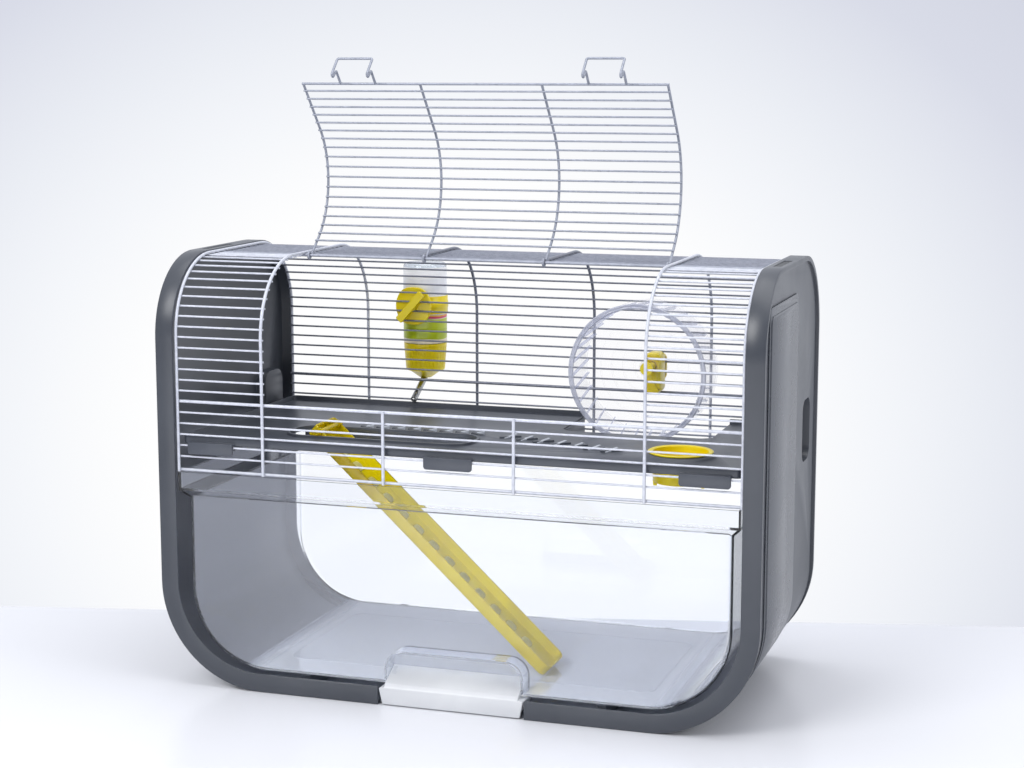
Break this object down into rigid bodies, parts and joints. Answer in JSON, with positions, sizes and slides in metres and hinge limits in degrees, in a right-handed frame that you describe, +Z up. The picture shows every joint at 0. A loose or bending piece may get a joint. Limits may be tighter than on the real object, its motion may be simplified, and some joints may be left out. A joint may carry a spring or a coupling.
{
  "type": "hamster cage",
  "caption": "Small-pet cage with a wire canopy and swing-up door, clear pull-out tray, hooked-in shelf, ladder, food bowl, running wheel and drinking bottle.",
  "frame": {"origin": "on the table under the middle of the moulded frame", "axes": "+X to the right seen from the front, -Y towards the front with the door and drawer pull, +Z up"},
  "size_m": [0.6, 0.3285, 0.616],
  "materials": {
    "frame_plastic": "moulded, satin gloss, dark grey",
    "steel_wire": "powder coated, light silver grey",
    "clear_plastic": "clear moulded polystyrene, glossy",
    "white_plastic": "moulded, satin white",
    "yellow_plastic": "moulded, glossy yellow",
    "amber_plastic": "translucent yellow moulding",
    "black_plastic": "moulded, matt black",
    "steel": "polished stainless steel",
    "seal_rubber": "moulded",
    "label_film": "printed film, plain colour bands"
  },
  "bodies": {
    "frame": {"frame_shell": "frame_plastic", "left_side_panel": "frame_plastic", "right_side_panel": "frame_plastic", "left_canopy_clip": "black_plastic", "right_canopy_clip": "black_plastic", "drawer_rails": "frame_plastic", "edge_arches": "steel_wire", "side_arches": "steel_wire", "rear_ribs": "steel_wire", "front_ribs": "steel_wire", "front_bars": "steel_wire", "skirt_wires": "steel_wire", "sill_wire": "steel_wire", "hinge_wire": "steel_wire", "rear_belt_wire": "steel_wire", "left_strip_bars": "steel_wire", "right_strip_bars": "steel_wire", "rear_bars": "steel_wire", "shelf": "frame_plastic", "wheel_axle": "steel", "wheel_bracket": "yellow_plastic", "wheel_bracket_clamp": "yellow_plastic", "water_bottle": "clear_plastic", "bottle_label": "label_film", "bottle_cap": "yellow_plastic", "bottle_gasket": "seal_rubber", "spout_tube": "steel", "bottle_holder": "yellow_plastic"},
    "door": {"door_uprights": "steel_wire", "door_bars_grid": "steel_wire", "door_end_bar": "steel_wire", "left_latch_loop": "steel_wire", "right_latch_loop": "steel_wire"},
    "drawer": {"tray": "clear_plastic", "tray_pull": "white_plastic"},
    "running_wheel": {"wheel_drum": "clear_plastic", "wheel_front_ring": "clear_plastic", "wheel_back_disc": "clear_plastic", "wheel_treads": "clear_plastic"},
    "bowl": {"food_bowl": "yellow_plastic"},
    "climbing_ladder": {"ladder": "amber_plastic"},
    "sipper_ball": {"spout_ball": "steel"},
    "turn_lock": {"bottle_lock": "yellow_plastic"}
  },
  "joints": [
    {"name": "door_hinge", "type": "hinge", "parent": "frame", "child": "door", "pos_m": [0, -0.031, 0.421], "axis": [1, 0, 0], "range_deg": [0, 139]},
    {"name": "tray_slide", "type": "slide", "parent": "frame", "child": "drawer", "axis": [0, -1, 0], "range_m": [0, 0.15]},
    {"name": "wheel_spin", "type": "hinge", "parent": "frame", "child": "running_wheel", "pos_m": [0.134, 0.078, 0.304], "axis": [0, 1, 0], "continuous": true},
    {"name": "bowl_lift", "type": "slide", "parent": "frame", "child": "bowl", "axis": [0, 0, 1], "range_m": [0, 0.03]},
    {"name": "ladder_swing", "type": "hinge", "parent": "frame", "child": "climbing_ladder", "pos_m": [-0.158, -0.049, 0.24985], "axis": [0, -1, 0], "range_deg": [0, 35]},
    {"name": "ball_travel", "type": "slide", "parent": "frame", "child": "sipper_ball", "axis": [0, 0.866, 0.5], "range_m": [0, 0.0015]},
    {"name": "lock_turn", "type": "hinge", "parent": "frame", "child": "turn_lock", "pos_m": [-0.1375, 0.126, 0.35279], "axis": [0, 1, 0], "range_deg": [0, 90]}
  ]
}
